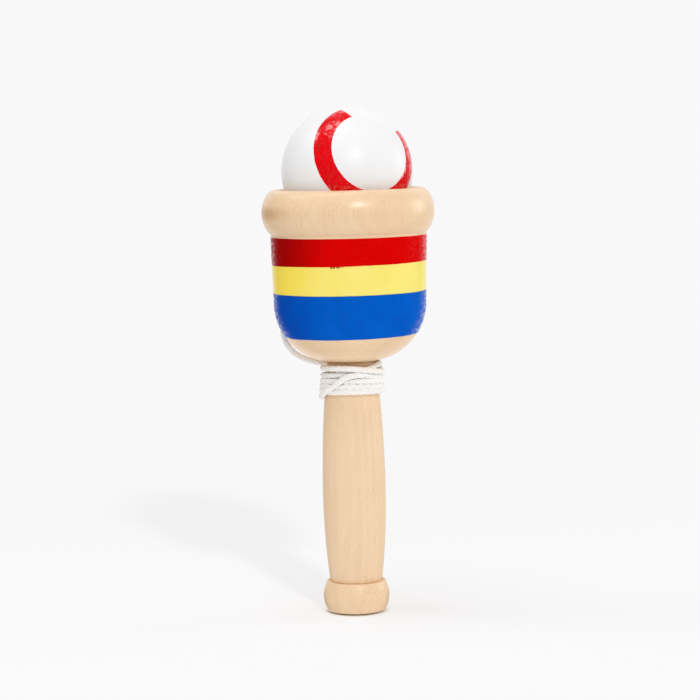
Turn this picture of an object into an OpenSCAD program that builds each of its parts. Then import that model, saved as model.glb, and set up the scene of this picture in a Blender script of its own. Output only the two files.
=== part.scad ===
// Cup and ball toy: a turned beech handle and cup, a drilled ball and one cotton cord.
// Millimetres. The origin is the centre of the foot's flat underside, and +Z runs up the handle.
// The front, where the ball's red ring faces, is towards -Y.

/* [Handle] */
// Height of the shoulder that the cup sits on, above the foot
handle_len = 77.5; // [66:0.5:92]
// Diameter of the grip at its widest
grip_d = 19.3; // [18:0.1:23]
// Height of the grip's widest place
grip_peak = 37; // [30:0.5:44]
// Diameter of the grip just above the foot knob
ankle_d = 15.9; // [13:0.1:17.5]
// Diameter of the neck at the shoulder
neck_d = 14.9; // [13:0.1:16.5]
// Chamfer on the shoulder's edge, under the cup
neck_chamfer = 0.4; // [0.2:0.05:0.6]
// Diameter of the foot knob
knob_d = 20.2; // [17.6:0.1:24]
// Height of the foot knob
knob_h = 9.6; // [8:0.1:12]
// Height of the knob's widest place
knob_peak = 5.2; // [4:0.1:6.5]
// Radius of the knob's rounded side
knob_round = 9; // [7.5:0.1:12]
// Diameter of the flat that the foot stands on
foot_d = 13.8; // [11:0.1:14.5]
// Height of the foot's edge above that flat
foot_rise = 0.5; // [0.2:0.05:0.8]
// Radius of the foot's rounded edge
foot_round = 0.4; // [0.2:0.05:0.8]
// Radius of the turned groove between knob and grip
groove_round = 0.3; // [0.2:0.05:0.8]
// Diameter of the tenon that enters the cup
tenon_d = 10; // [7:0.1:12]
// Length of the tenon
tenon_len = 14; // [9:0.5:18]
// Chamfer on the tenon's end
tenon_chamfer = 1; // [0.4:0.1:1.6]

/* [Cup] */
// Height of the cup, base to rim
cup_h = 52.5; // [48:0.5:60]
// Diameter of the rolled rim
rim_d = 52.6; // [51.8:0.1:54]
// Height of the rolled rim
rim_h = 14; // [13:0.1:16]
// Radius of the rim's outer swell
rim_swell = 10; // [9.4:0.1:12]
// Radius of the rim's rounded lips, above and below
lip_round = 3.2; // [2.6:0.1:4]
// Diameter of the mouth at the rim's top
mouth_d = 43.3; // [42:0.1:44.5]
// Diameter of the wall just under the rim
wall_top_d = 47.4; // [46.8:0.1:48]
// Diameter of the wall where the base starts to round in
wall_low_d = 46.3; // [44:0.1:47]
// Radius of the base's rounding
base_round = 18; // [17:0.1:19]
// Diameter of the base's flat face
base_face_d = 14.4; // [13.4:0.1:18]
// Half angle of the tapered hollow that the ball sits in
seat_angle = 37; // [34:0.5:40]
// Radius of the hollow's rounded floor
floor_round = 8; // [6:0.1:10]
// Radial glue clearance round the tenon
tenon_clear = 0.1; // [0.05:0.01:0.2]
// Spare depth of the socket past the tenon
tenon_spare = 0.8; // [0.3:0.1:1.5]

/* [Paint] */
// Thickness of a paint coat
paint_t = 0.12; // [0.08:0.01:0.2]
// Gap that keeps a coat clear of the wood under it
coat_gap = 0.03; // [0.02:0.01:0.05]
// Bare wood between the rim's underside and the red band
band_drop = 0.7; // [0.05:0.05:1]
// Width of the red band
red_w = 8.2; // [6:0.1:10]
// Width of the yellow band
yellow_w = 8.8; // [7:0.1:11]
// Width of the blue band, measured upright
blue_w = 13.3; // [9:0.1:15]

/* [Ball] */
// Diameter of the ball
ball_d = 40; // [38.5:0.1:41.5]
// Gap between the ball and the tapered hollow
seat_gap = 0.3; // [0.25:0.05:0.5]
// Turn of the cord bore's exit about the upright axis, from +X
bore_turn = 115; // [105:1:125]
// Rise of the cord bore's exit above level
bore_rise = 30; // [26:1:34]
// Radial clearance of the bore round the cord
bore_clear = 0.4; // [0.3:0.05:0.6]
// Diameter of the pocket that hides the stopper knot
pocket_d = 6.6; // [6:0.1:8]
// Depth of that pocket below the ball's crown
pocket_depth = 6.2; // [5.6:0.1:8]
// Turn of the painted ring's pole about the upright axis, from +X
ring_turn = -63.5; // [-75:0.5:-50]
// Rise of the painted ring's pole above level
ring_rise = 21; // [10:1:30]
// Angle from the pole to the ring's inner edge
ring_inner = 37.5; // [32:0.5:42]
// Angle from the pole to the ring's outer edge
ring_outer = 54; // [50:0.5:62]
// Bare stretch of the ring, in degrees round the pole
ring_bare = 73; // [40:1:90]
// Middle of the bare stretch, in degrees to the right of its top
ring_bare_at = 21; // [0:1:36]

/* [Cord] */
// Diameter of the cotton cord
cord_d = 1.8; // [1.4:0.1:2]
// Gap between turns that lie side by side
turn_gap = 0.45; // [0.45:0.05:0.8]
// Gap between the strand that slants over and the turns beneath it
layer_gap = 0.42; // [0.42:0.02:0.8]
// Gap between the winding and the neck
wind_seat = 0.3; // [0.25:0.05:0.5]
// Gap between the cup's base and the top strand
wind_drop = 1; // [0.6:0.1:1.6]
// Turns that lie on the neck below the slanting strand
inner_turns = 2; // [2:1:4]
// Length of cord glued into the neck
anchor_len = 6; // [4:0.5:7]
// Radial clearance of the neck's hole round the cord
anchor_clear = 0.15; // [0.1:0.05:0.3]
// Length of cord that stands out of the ball before it bends
stub_len = 1.5; // [1:0.1:2.5]
// Rounds in the stopper knot
knot_rounds = 2; // [1:1:2]
// Diameter of the stopper knot
knot_d = 4.7; // [4.2:0.1:5.2]
// How far the stopper knot's rounds press into each other
knot_press = 0.3; // [0.1:0.05:0.5]
// Gap between the stopper knot and the floor of its pocket
knot_gap = 0.3; // [0.2:0.05:0.5]

/* [Hidden] */
$fn = 96;
// Facets on the long, nearly straight arcs of the grip
long_arc_fn = 720;
// How far a cutting shape runs past the face that it cuts
overrun = 1;

beech = [0.93, 0.80, 0.62];
red_paint = [0.78, 0.03, 0.04];
yellow_paint = [0.97, 0.87, 0.36];
blue_paint = [0.02, 0.32, 0.72];
white_paint = [0.96, 0.96, 0.95];
cotton = [0.90, 0.87, 0.80];

// Radius of an arc that falls away by drop over a run, from a level start
function arc_radius(drop, run) = (drop * drop + run * run) / (2 * drop);

// Handle
grip_r = grip_d / 2;
upper_arc = arc_radius(grip_r - neck_d / 2, handle_len - grip_peak);
lower_arc = arc_radius(grip_r - ankle_d / 2, grip_peak - knob_h);
function neck_r(z) = grip_r - upper_arc + sqrt(pow(upper_arc, 2) - pow(z - grip_peak, 2));

// Foot knob: its rounded edge lies inside the curve of its side, and the underside slopes in to the flat
knob_at = [knob_d / 2 - knob_round, knob_peak];
edge_z = foot_rise + foot_round;
edge_r = knob_at.x + sqrt(pow(knob_round - foot_round, 2) - pow(knob_peak - edge_z, 2));
edge_at = [edge_r, edge_z];
edge_touch = knob_at + knob_round * unit(edge_at - knob_at);
flat_end = [foot_d / 2, 0];
under_run = edge_at - flat_end;
under_slope = atan2(under_run.y, under_run.x) - asin(foot_round / norm(under_run));
under_touch = edge_at + foot_round * [sin(under_slope), -cos(under_slope)];

// Cup
rim_top = handle_len + cup_h;
rim_mid = rim_top - rim_h / 2;
rim_low = rim_top - rim_h;
mouth_r = mouth_d / 2;
swell_r = rim_d / 2 - rim_swell;
// The lips' circles meet the rim's swell smoothly
lip_rise = rim_h / 2 - lip_round;
crest_r = swell_r + sqrt(pow(rim_swell - lip_round, 2) - pow(lip_rise, 2));
swell_half = lip_rise * rim_swell / (rim_swell - lip_round);
round_r = wall_low_d / 2 - base_round;
round_h = sqrt(pow(base_round, 2) - pow(base_face_d / 2 - round_r, 2));
round_top = handle_len + round_h;
wall_lean = (wall_top_d - wall_low_d) / 2 / (rim_low - round_top);
function wall_r(z) = wall_low_d / 2 + wall_lean * (z - round_top);

// Ball, at the height where the taper holds it
ball_r = ball_d / 2;
seat_r = ball_r + seat_gap;
ball_z = rim_top + (seat_r / cos(seat_angle) - mouth_r) / tan(seat_angle);
ball_at = [0, 0, ball_z];
taper_tip = ball_z - seat_r / sin(seat_angle);
floor_z = taper_tip + floor_round / sin(seat_angle);
bore_axis = [cos(bore_rise) * cos(bore_turn), cos(bore_rise) * sin(bore_turn), sin(bore_rise)];
pocket_floor = ball_r - pocket_depth;

// Bands, stacked down the wall from where it meets the rim's lower lip
wall_reach = clamp((wall_r(rim_low) - crest_r) / lip_round);
red_top = rim_mid - lip_rise - lip_round * sqrt(1 - pow(wall_reach, 2)) - band_drop;
yellow_top = red_top - red_w;
blue_top = yellow_top - yellow_w;
blue_low = blue_top - blue_w;

// Winding: turns are counted from the left of the neck, where the free stretch comes in. The first
// strand crosses the front, the cord falls round the back, slants up across the front from the left,
// and then its turns lie side by side
cord_r = cord_d / 2;
loop_rings = 24;
wound_sides = 6;
lead_sides = 8;
pitch = cord_d + turn_gap;
layer = cord_d + layer_gap;
wind_top = handle_len - wind_drop - cord_r;
fall_from = 0.5;
slant_from = 1;
slant_to = 1.25;
flat_from = 1.5;
last_turn = flat_from + inner_turns;
// Depths below the first strand's start, in pitches, where each of those stretches begins
fall_depth = 0.25;
slant_depth = inner_turns + 1.75;
cross_depth = 1.0625;
flat_depth = 1.25;
// Turns over which the cord climbs onto the layer beneath it, and settles back on the neck
climb_from = 0.44;
climb_turns = 0.16;
settle_turns = 0.2;
anchor_z = wind_top - last_turn * pitch;
anchor_y = neck_r(anchor_z) + wind_seat;

function clamp(v) = min(max(v, 0), 1);
function ease(v) = let (c = clamp(v)) c * c * (3 - 2 * c);
function mix(a, b, s) = a + (b - a) * s;
function unit(v) = v / norm(v);

function share(t, from, to) = (t - from) / (to - from);

// How far down the cord is at a turn, in pitches
function depth(t) = t < fall_from ? mix(0, fall_depth, share(t, 0, fall_from))
    : t < slant_from ? mix(fall_depth, slant_depth, ease(share(t, fall_from, slant_from)))
    : t < slant_to ? mix(slant_depth, cross_depth, ease(share(t, slant_from, slant_to)))
    : t < flat_from ? mix(cross_depth, flat_depth, share(t, slant_to, flat_from))
    : flat_depth + t - flat_from;
// Where the cord lies over other turns it stands one layer out
function lift(t) = ease((t - climb_from) / climb_turns) - ease((t - slant_to) / settle_turns);
function wound(t) = let (z = wind_top - pitch * depth(t),
                         r = neck_r(z) + wind_seat + cord_r + layer * lift(t),
                         a = 180 + 360 * t) [r * cos(a), r * sin(a), z];
function bezier(a, b, c, d, s) = pow(1 - s, 3) * a + 3 * pow(1 - s, 2) * s * b
    + 3 * (1 - s) * s * s * c + pow(s, 3) * d;

// The tail leaves the last turn and bends in to the hole at the back of the neck, near a quarter circle
quarter_pull = 0.55;
tail_pull = quarter_pull * anchor_y;
tail_rings = 10;
tail_way = unit(wound(last_turn) - wound(last_turn - 1 / loop_rings));
tail_in = [0, anchor_y + cord_d, anchor_z];
tail = [for (i = [1:tail_rings]) bezier(wound(last_turn), wound(last_turn) + tail_pull * tail_way,
                                        tail_in + [0, tail_pull, 0], tail_in, i / tail_rings)];
wind_start = wound(0) + [0, cord_d, 0];
wind_path = concat([wind_start], [for (i = [0:last_turn * loop_rings]) wound(i / loop_rings)],
                   tail, [[0, anchor_y, anchor_z]]);

// Least distance between strands that lie at least a third of a turn apart along the cord
apart = loop_rings / 3;
function least_gap(p) = min([for (i = [0:len(p) - 1 - apart], j = [i + apart:len(p) - 1])
    norm(p[i] - p[j])]) - cord_d;
echo(least_gap_in_winding = least_gap(wind_path));

// Free stretch, from the ball over the back of the rim and down behind the cup to the winding
lead_route = [[-12.0, 22.5, 146.5], [-13.8, 23.9, 142.0], [-14.7, 23.5, 136.0], [-15.9, 22.7, 128.0],
              [-17.2, 21.5, 118.0], [-18.9, 19.9, 108.0], [-20.3, 18.2, 98.0], [-21.2, 16.0, 90.0],
              [-21.0, 12.8, 84.0], [-18.9, 10.0, 79.8], [-15.2, 8.6, 77.2], [-11.6, 7.4, 76.0]];
// Rings between one point of the route and the next, and the cord's straight run out of the ball
lead_steps = 2;
lead_straight = 2.5;
lead_out = ball_at + (ball_r + stub_len) * bore_axis;
lead_points = concat([lead_out, lead_out + lead_straight * bore_axis], lead_route,
                     [wind_start + [0, cord_d, 0], wind_start]);
function smooth(p, i, s) = let (a = p[max(i - 1, 0)], b = p[i], c = p[i + 1],
                               d = p[min(i + 2, len(p) - 1)])
    bezier(b, b + (c - a) / 6, c - (d - b) / 6, c, s);
lead_path = concat([lead_points[0]],
                   [for (i = [1:len(lead_points) - 3], k = [0:lead_steps - 1])
                       smooth(lead_points, i, k / lead_steps)],
                   [lead_points[len(lead_points) - 2], lead_points[len(lead_points) - 1]]);

// Tube swept along a path: each ring's first direction is carried over from the ring before
function ways(p) = [for (i = [0:len(p) - 1]) unit(p[min(i + 1, len(p) - 1)] - p[max(i - 1, 0)])];
function square_to(n, way) = unit(n - (n * way) * way);
any_side = [1, 0.3, 0.2];
function sides_of(w) = [for (i = 0, n = square_to(any_side, w[0]); i < len(w);
                             i = i + 1, n = i < len(w) ? square_to(n, w[i]) : n) n];
module tube(path, r, sides) {
    w = ways(path);
    n = sides_of(w);
    last = len(path) - 1;
    rings = [for (i = [0:last], k = [0:sides - 1]) let (a = 360 * k / sides)
        path[i] + r * (cos(a) * n[i] + sin(a) * cross(w[i], n[i]))];
    skin = [for (i = [0:last - 1], k = [0:sides - 1])
        let (a = i * sides + k, b = i * sides + (k + 1) % sides)
        each [[a, a + sides, b], [b, a + sides, b + sides]]];
    start_cap = [for (k = [1:sides - 2]) [0, k, k + 1]];
    end = last * sides;
    end_cap = [for (k = [1:sides - 2]) [end, end + k + 1, end + k]];
    polyhedron(rings, concat(skin, start_cap, end_cap));
}

// Places its children on the line of the ball's cord bore, with +Z towards the exit
module along_bore() {
    translate(ball_at) rotate([0, 90 - bore_rise, bore_turn]) children();
}

module knot_pocket() {
    along_bore() translate([0, 0, -ball_r - overrun]) cylinder(d = pocket_d, h = pocket_depth + overrun);
}

// Half of the handle's outline, spun about the axis
module handle_outline() {
    intersection() {
        translate([grip_r - upper_arc, grip_peak]) circle(r = upper_arc, $fn = long_arc_fn);
        translate([0, grip_peak]) square([grip_r, handle_len - grip_peak]);
    }
    intersection() {
        translate([grip_r - lower_arc, grip_peak]) circle(r = lower_arc, $fn = long_arc_fn);
        translate([0, knob_h]) square([grip_r, grip_peak - knob_h]);
    }
    intersection() {
        translate(knob_at) circle(r = knob_round, $fn = long_arc_fn);
        translate([0, edge_touch.y]) square([knob_d / 2, knob_h - edge_touch.y]);
    }
    translate(edge_at) circle(r = foot_round);
    polygon([[0, 0], flat_end, under_touch, edge_touch, [0, edge_touch.y]]);
    tenon_end = handle_len + tenon_len;
    polygon([[0, handle_len], [tenon_d / 2, handle_len], [tenon_d / 2, tenon_end - tenon_chamfer],
             [tenon_d / 2 - tenon_chamfer, tenon_end], [0, tenon_end]]);
}

module handle() {
    color(beech) difference() {
        rotate_extrude() difference() {
            handle_outline();
            translate([ankle_d / 2, knob_h]) circle(r = groove_round);
            translate([neck_d / 2, handle_len])
                polygon([[-neck_chamfer, 0], [overrun, 0], [overrun, -neck_chamfer - overrun]]);
        }
        translate([0, anchor_y + overrun, anchor_z]) rotate([90, 0, 0])
            cylinder(r = cord_r + anchor_clear, h = anchor_len + anchor_clear + overrun);
    }
}

// Half of the outline of the cup's wall and base, grown outwards by t
module wall_outline(t) {
    polygon([[0, round_top], [wall_r(round_top) + t, round_top], [wall_r(rim_mid) + t, rim_mid],
             [0, rim_mid]]);
    intersection() {
        translate([round_r, round_top]) circle(r = base_round + t, $fn = long_arc_fn);
        translate([0, handle_len - t]) square([round_r + base_round + t, round_h + t]);
    }
    translate([0, handle_len - t]) square([round_r, round_h + t]);
}

module rim_outline() {
    intersection() {
        translate([swell_r, rim_mid]) circle(r = rim_swell, $fn = long_arc_fn);
        translate([0, rim_mid - swell_half]) square([rim_d, 2 * swell_half]);
    }
    for (side = [-1, 1]) translate([crest_r, rim_mid + side * lip_rise]) circle(r = lip_round);
    translate([0, rim_low]) square([crest_r, rim_h]);
}

module hollow_outline() {
    touch_r = floor_round * cos(seat_angle);
    touch_z = floor_z - floor_round * sin(seat_angle);
    top_z = rim_top + overrun;
    intersection() {
        translate([0, floor_z]) circle(r = floor_round);
        translate([0, floor_z - floor_round]) square([floor_round, floor_round]);
    }
    polygon([[0, touch_z], [touch_r, touch_z], [(top_z - taper_tip) * tan(seat_angle), top_z], [0, top_z]]);
}

module cup() {
    color(beech) rotate_extrude() difference() {
        union() {
            wall_outline(0);
            rim_outline();
        }
        hollow_outline();
        translate([0, handle_len - overrun])
            square([tenon_d / 2 + tenon_clear, overrun + tenon_len + tenon_spare]);
    }
}

// A paint coat on the cup's wall between two heights
module band(low, high) {
    rotate_extrude() intersection() {
        difference() {
            wall_outline(coat_gap + paint_t);
            wall_outline(coat_gap);
        }
        translate([0, low]) square([rim_d, high - low]);
    }
}

module red_band() { color(red_paint) band(yellow_top, red_top); }
module yellow_band() { color(yellow_paint) band(blue_top, yellow_top); }
module blue_band() { color(blue_paint) band(blue_low, blue_top); }

module cord_winding() { color(cotton) tube(wind_path, cord_r, wound_sides); }
module cord_lead() { color(cotton) tube(lead_path, cord_r, lead_sides); }

module cord_anchor() {
    color(cotton) translate([0, anchor_y, anchor_z]) rotate([90, 0, 0]) cylinder(d = cord_d, h = anchor_len);
}

module ball_cord() {
    low = -pocket_floor - knot_gap;
    color(cotton) along_bore() translate([0, 0, low]) cylinder(d = cord_d, h = ball_r + stub_len - low);
}

// The stopper knot's rounds are pulled tight, side by side round the cord's packed middle
module ball_knot() {
    step = cord_d - knot_press;
    knot_h = cord_d + (knot_rounds - 1) * step;
    middle_r = knot_d / 2 - cord_r;
    color(cotton) along_bore() translate([0, 0, -pocket_floor - knot_gap - knot_h]) rotate_extrude()
        intersection() {
            union() {
                square([middle_r, knot_h]);
                for (i = [0:knot_rounds - 1]) translate([middle_r, cord_r + i * step]) circle(r = cord_r);
            }
            square([knot_d / 2, knot_h]);
        }
}

module ball() {
    color(white_paint) difference() {
        translate(ball_at) sphere(r = ball_r);
        along_bore() translate([0, 0, -ball_r]) cylinder(r = cord_r + bore_clear, h = 2 * ball_r + overrun);
        knot_pocket();
    }
}

// A paint coat on the ball between two angles from the ring's pole, broken by a bare stretch
module ball_ring() {
    reach = 2 * ball_r;
    start = 180 - ring_bare_at + ring_bare / 2;
    color(red_paint) difference() {
        translate(ball_at) rotate([0, 90 - ring_rise, ring_turn]) rotate([0, 0, start])
            rotate_extrude(angle = 360 - ring_bare) intersection() {
                difference() {
                    circle(r = ball_r + coat_gap + paint_t);
                    circle(r = ball_r + coat_gap);
                }
                polygon([[0, 0], reach * [sin(ring_inner), cos(ring_inner)],
                         reach * [sin(ring_outer), cos(ring_outer)]]);
            }
        knot_pocket();
    }
}

handle();
cup();
red_band();
yellow_band();
blue_band();
cord_winding();
cord_lead();
cord_anchor();
ball_cord();
ball_knot();
ball();
ball_ring();
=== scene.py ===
import math

import bmesh
import bpy
from mathutils import Matrix, Vector, noise


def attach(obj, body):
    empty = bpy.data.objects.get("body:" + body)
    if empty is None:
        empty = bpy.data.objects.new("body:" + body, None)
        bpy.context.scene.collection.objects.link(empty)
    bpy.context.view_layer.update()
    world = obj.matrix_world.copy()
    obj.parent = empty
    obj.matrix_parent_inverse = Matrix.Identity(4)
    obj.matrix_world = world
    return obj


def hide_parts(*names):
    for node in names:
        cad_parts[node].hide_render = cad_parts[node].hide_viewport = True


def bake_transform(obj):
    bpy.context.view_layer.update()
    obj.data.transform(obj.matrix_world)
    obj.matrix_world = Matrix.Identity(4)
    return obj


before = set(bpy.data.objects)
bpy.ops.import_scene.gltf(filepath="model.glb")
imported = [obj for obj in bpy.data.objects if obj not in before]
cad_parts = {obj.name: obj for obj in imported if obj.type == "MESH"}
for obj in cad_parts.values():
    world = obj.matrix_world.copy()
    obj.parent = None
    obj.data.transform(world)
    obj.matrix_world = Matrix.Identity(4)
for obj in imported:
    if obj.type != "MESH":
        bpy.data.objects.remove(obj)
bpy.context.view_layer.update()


# Camera
# A long lens from the front, a little above the cup's rim and tipped slightly down. The camera was
# held a degree or so clockwise, so the toy leans to the left in the picture.
mm = 0.001
picture_px = 700
focal_px = 2491
film_mm = 36
camera_at = Vector((-0.35 * mm, -757.7 * mm, 151.8 * mm))
camera_down = math.radians(5.36)
camera_roll = math.radians(1.3)

camera_data = bpy.data.cameras.new("camera")
camera_data.sensor_width = film_mm
camera_data.lens = focal_px * film_mm / picture_px
camera = bpy.data.objects.new("camera", camera_data)
bpy.context.scene.collection.objects.link(camera)
ahead = Vector((0, math.cos(camera_down), -math.sin(camera_down)))
aside = Vector((1, 0, 0))
above = aside.cross(ahead)
camera_x = aside * math.cos(camera_roll) - above * math.sin(camera_roll)
camera_y = above * math.cos(camera_roll) + aside * math.sin(camera_roll)
camera_turn = Matrix((camera_x, camera_y, -ahead)).transposed()
camera.matrix_world = Matrix.Translation(camera_at) @ camera_turn.to_4x4()
bpy.context.scene.camera = camera


# Handle
# One beech turning: a foot knob that stands on a flat inside its rounded edge, a groove, a grip that
# swells and tapers to the neck, and a tenon that is glued into the cup. The skew chisel left fine lines
# on the knob's shoulder.
handle_len = 77.5 * mm
grip_d = 19.3 * mm
grip_peak = 37 * mm
ankle_d = 15.9 * mm
neck_d = 14.9 * mm
neck_chamfer = 0.4 * mm
knob_d = 20.2 * mm
knob_h = 9.6 * mm
knob_peak = 5.2 * mm
knob_round = 9 * mm
foot_d = 13.8 * mm
foot_rise = 0.5 * mm
foot_round = 0.4 * mm
groove_round = 0.3 * mm
tenon_d = 10 * mm
tenon_len = 14 * mm
tenon_chamfer = 1 * mm
knob_lines = (6.4 * mm, 7.15 * mm, 7.7 * mm, 8.5 * mm)
line_depth = 0.04 * mm
line_half = 0.12 * mm
handle_heart = (34 * mm, 21 * mm)
polish_fade = 1 * mm
foot_steps = 10
knob_steps = 150
groove_sweep = 250
groove_steps = 18
ankle_steps = 34
neck_steps = 46
handle_segments = 168
drill_segments = 48
seam_gap = 0.001 * mm
crisp_edge = math.radians(35)


class Wire:
    """An output in a node tree, or a tree with no output yet. Sums add Math nodes, and node() any other."""

    def __init__(self, tree, socket=None):
        self.tree = tree
        self.socket = socket

    def node(self, kind, inputs=None, out=0, **settings):
        made = self.tree.nodes.new(kind)
        for name, value in settings.items():
            setattr(made, name, value)
        for key, value in (inputs or {}).items():
            if isinstance(value, Wire):
                self.tree.links.new(value.socket, made.inputs[key])
            else:
                made.inputs[key].default_value = value
        return Wire(self.tree, made.outputs[out] if made.outputs else None)

    def out(self, name):
        return Wire(self.tree, self.socket.node.outputs[name])

    def maths(self, operation, *values):
        return self.node("ShaderNodeMath", dict(enumerate(values)), operation=operation)

    def vector(self, operation, *values):
        return self.node("ShaderNodeVectorMath", dict(enumerate((self, *values))), operation=operation)

    def scaled(self, amount):
        return self.node("ShaderNodeVectorMath", {0: self, "Scale": amount}, operation="SCALE")

    def noise(self, scale, detail):
        spread = self.vector("MULTIPLY", scale)
        return self.node("ShaderNodeTexNoise", {"Vector": spread, "Scale": 1, "Detail": detail})

    def between(self, low, high):
        limits = {0: self, 1: low, 2: high}
        return self.node("ShaderNodeMapRange", limits, interpolation_type="SMOOTHSTEP")

    def mix(self, first, second):
        return self.node("ShaderNodeMix", {0: self, 6: first, 7: second}, out=2, data_type="RGBA")

    def __add__(self, other):
        return self.maths("ADD", self, other)

    def __sub__(self, other):
        return self.maths("SUBTRACT", self, other)

    def __rsub__(self, other):
        return self.maths("SUBTRACT", other, self)

    def __mul__(self, other):
        return self.maths("MULTIPLY", self, other)

    def __truediv__(self, other):
        return self.maths("DIVIDE", self, other)

    __radd__ = __add__
    __rmul__ = __mul__


def node_tree(name, inputs):
    """An empty geometry tree with named inputs after the geometry, and a Wire on its group input."""
    tree = bpy.data.node_groups.new(name, "GeometryNodeTree")
    tree.interface.new_socket("Geometry", in_out="INPUT", socket_type="NodeSocketGeometry")
    for label, kind in inputs.items():
        tree.interface.new_socket(label, in_out="INPUT", socket_type=kind)
    tree.interface.new_socket("Geometry", in_out="OUTPUT", socket_type="NodeSocketGeometry")
    return tree, Wire(tree).node("NodeGroupInput")


def close_tree(geometry, given):
    """Ends a tree: smooth shading, its finish, and real geometry in place of instances."""
    smooth = geometry.node("GeometryNodeSetShadeSmooth", {"Geometry": geometry})
    finished = smooth.node("GeometryNodeSetMaterial", {"Geometry": smooth, "Material": given.out("Finish")})
    real = finished.node("GeometryNodeRealizeInstances", {"Geometry": finished})
    real.node("NodeGroupOutput", {"Geometry": real})


def grown(name, points, edges, tree, values):
    """A plain mesh piece that a geometry tree makes from points and edges."""
    seed = bpy.data.meshes.new(name + "_start")
    seed.from_pydata(points, edges, [])
    piece = bpy.data.objects.new(name, seed)
    bpy.context.scene.collection.objects.link(piece)
    modifier = piece.modifiers.new(tree.name, "NODES")
    modifier.node_group = tree
    for socket in tree.interface.items_tree:
        if socket.in_out == "INPUT" and socket.name in values:
            modifier[socket.identifier] = values[socket.name]
    depsgraph = bpy.context.evaluated_depsgraph_get()
    mesh = bpy.data.meshes.new_from_object(
        piece.evaluated_get(depsgraph), preserve_all_data_layers=True, depsgraph=depsgraph
    )
    piece.modifiers.remove(modifier)
    piece.data = mesh
    bpy.data.meshes.remove(seed)
    return piece


# The lathe: every point of an outline in the XZ plane goes round the Z axis
lathe, given = node_tree("lathe", {"Segments": "NodeSocketInt", "Finish": "NodeSocketMaterial"})
outline_count = given.node("GeometryNodeAttributeDomainSize", {"Geometry": given}, out="Point Count")
segments = given.out("Segments")
blank = given.node("GeometryNodeMeshGrid", {"Vertices X": segments + 1, "Vertices Y": outline_count})
index = given.node("GeometryNodeInputIndex")
spoke = given.maths("FLOOR", index / outline_count)
outline_point = index - spoke * outline_count
outline_place = given.node(
    "GeometryNodeSampleIndex",
    {"Geometry": given, "Value": given.node("GeometryNodeInputPosition"), "Index": outline_point},
    data_type="FLOAT_VECTOR",
)
outline_xyz = given.node("ShaderNodeSeparateXYZ", {0: outline_place})
radius, height = outline_xyz.out("X"), outline_xyz.out("Z")
turn = spoke * (2 * math.pi) / segments
spun_place = given.node(
    "ShaderNodeCombineXYZ",
    {"X": radius * given.maths("COSINE", turn), "Y": radius * given.maths("SINE", turn), "Z": height},
)
spun_skin = given.node("GeometryNodeSetPosition", {"Geometry": blank, "Position": spun_place})
merged = given.node("GeometryNodeMergeByDistance", {"Geometry": spun_skin, "Distance": seam_gap})
close_tree(merged, given)


def spun(name, outline, segments, finish):
    """A turned piece from an outline of (radius, height) points, with its faces outwards."""
    points = [(r, 0, z) for r, z in outline]
    piece = grown(name, points, [], lathe, {"Segments": segments, "Finish": finish})
    face_outwards(piece.data)
    return piece


def face_outwards(mesh, crease=crisp_edge):
    """Turns every face of a closed mesh outwards, and keeps edges sharper than the crease crisp."""
    shell = bmesh.new()
    shell.from_mesh(mesh)
    bmesh.ops.recalc_face_normals(shell, faces=shell.faces)
    shell.to_mesh(mesh)
    shell.free()
    mesh.shade_smooth()
    mesh.set_sharp_from_angle(angle=crease)


def arc(centre, r, start, end, steps):
    """Points along an arc, by its angles in degrees from the radius' direction."""
    angles = [math.radians(start + (end - start) * i / steps) for i in range(steps + 1)]
    return [(centre[0] + r * math.cos(a), centre[1] + r * math.sin(a)) for a in angles]


def angle_of(centre, point):
    return math.degrees(math.atan2(point[1] - centre[1], point[0] - centre[0]))


def arc_radius(drop, run):
    """Radius of an arc that falls away by drop over a run, from a level start."""
    return (drop * drop + run * run) / (2 * drop)


def drilled(piece, r, start, end):
    """Cuts a round hole from start to end."""
    way = Vector(end) - Vector(start)
    shape = bmesh.new()
    bmesh.ops.create_cone(
        shape, cap_ends=True, segments=drill_segments, radius1=r, radius2=r, depth=way.length
    )
    turn = Vector((0, 0, 1)).rotation_difference(way).to_matrix().to_4x4()
    middle = (Vector(start) + Vector(end)) / 2
    bmesh.ops.transform(shape, matrix=Matrix.Translation(middle) @ turn, verts=shape.verts)
    drill_mesh = bpy.data.meshes.new("drill")
    shape.to_mesh(drill_mesh)
    shape.free()
    drill = bpy.data.objects.new("drill", drill_mesh)
    bpy.context.scene.collection.objects.link(drill)
    cut = piece.modifiers.new("drill", "BOOLEAN")
    cut.operation = "DIFFERENCE"
    cut.solver = "EXACT"
    cut.object = drill
    depsgraph = bpy.context.evaluated_depsgraph_get()
    mesh = bpy.data.meshes.new_from_object(piece.evaluated_get(depsgraph))
    piece.modifiers.remove(cut)
    piece.data = mesh
    bpy.data.objects.remove(drill)
    mesh.set_sharp_from_angle(angle=crisp_edge)


def principled(name, roughness, **constants):
    """A new material, a Wire in its tree with the object's own coordinates, and its shader node."""
    material = bpy.data.materials.new(name)
    material.use_nodes = True
    shader = material.node_tree.nodes["Principled BSDF"]
    shader.inputs["Roughness"].default_value = roughness
    for label, value in constants.items():
        shader.inputs[label.replace("_", " ")].default_value = value
    place = Wire(material.node_tree).node("ShaderNodeTexCoord", out="Object")
    return material, place, shader


def plug(wire, shader, label):
    wire.tree.links.new(wire.socket, shader.inputs[label])


def bumped(height, distance):
    return height.node("ShaderNodeBump", {"Height": height, "Distance": distance, "Strength": 1})


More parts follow.
